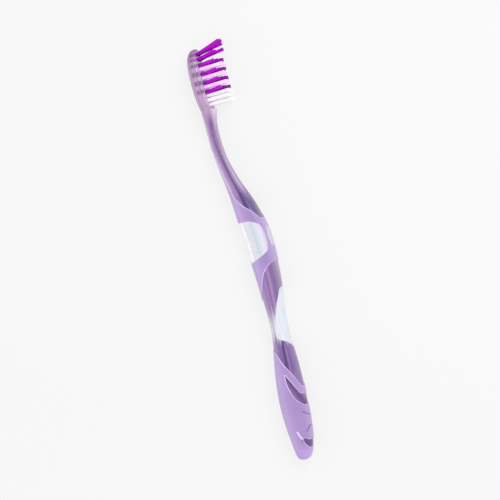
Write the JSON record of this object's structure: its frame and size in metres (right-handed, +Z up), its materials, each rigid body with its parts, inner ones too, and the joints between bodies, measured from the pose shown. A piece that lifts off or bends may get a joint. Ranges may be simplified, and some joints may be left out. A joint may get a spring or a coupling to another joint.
{
  "type": "manual toothbrush",
  "caption": "Hand toothbrush with rows of upright and leaning tufts, a see-through tinted neck and core, clear windows, and soft thumb and palm grips.",
  "frame": {"origin": "middle of the brush's box, on the surface that the brush lies on", "axes": "+X along the handle towards the head, -Y to the bristle side, +Z up through the width"},
  "size_m": [0.193, 0.018, 0.013],
  "materials": {
    "neck_plastic": "polished, see-through tinted",
    "core_plastic": "polished, see-through, darker tint",
    "clear_plastic": "polished, colourless",
    "soft_grip": "satin, fine moulded texture",
    "white_bristle": "bundled filament, cut and rounded ends",
    "coloured_bristle": "bundled filament, cut and rounded ends",
    "anchor_metal": "plain flat wire, silver in colour"
  },
  "bodies": {
    "root": {"head_and_neck": "neck_plastic", "handle_core": "core_plastic", "thumb_block": "clear_plastic", "front_window": "clear_plastic", "thumb_grip": "soft_grip", "palm_grip": "soft_grip", "tuft_row_1": "white_bristle", "tuft_row_2": "white_bristle", "tuft_row_3": "white_bristle", "tuft_row_4": "coloured_bristle", "tuft_row_5": "white_bristle", "tuft_row_6": "coloured_bristle", "tuft_row_7": "white_bristle", "tuft_row_8": "coloured_bristle", "tuft_row_9": "white_bristle", "tuft_row_10": "coloured_bristle", "tuft_row_11": "coloured_bristle", "tuft_row_12": "coloured_bristle", "anchor_row_1": "anchor_metal", "anchor_row_2": "anchor_metal", "anchor_row_3": "anchor_metal", "anchor_row_4": "anchor_metal", "anchor_row_5": "anchor_metal", "anchor_row_6": "anchor_metal", "anchor_row_7": "anchor_metal", "anchor_row_8": "anchor_metal", "anchor_row_9": "anchor_metal", "anchor_row_10": "anchor_metal", "anchor_row_11": "anchor_metal", "anchor_row_12": "anchor_metal"}
  },
  "joints": []
}
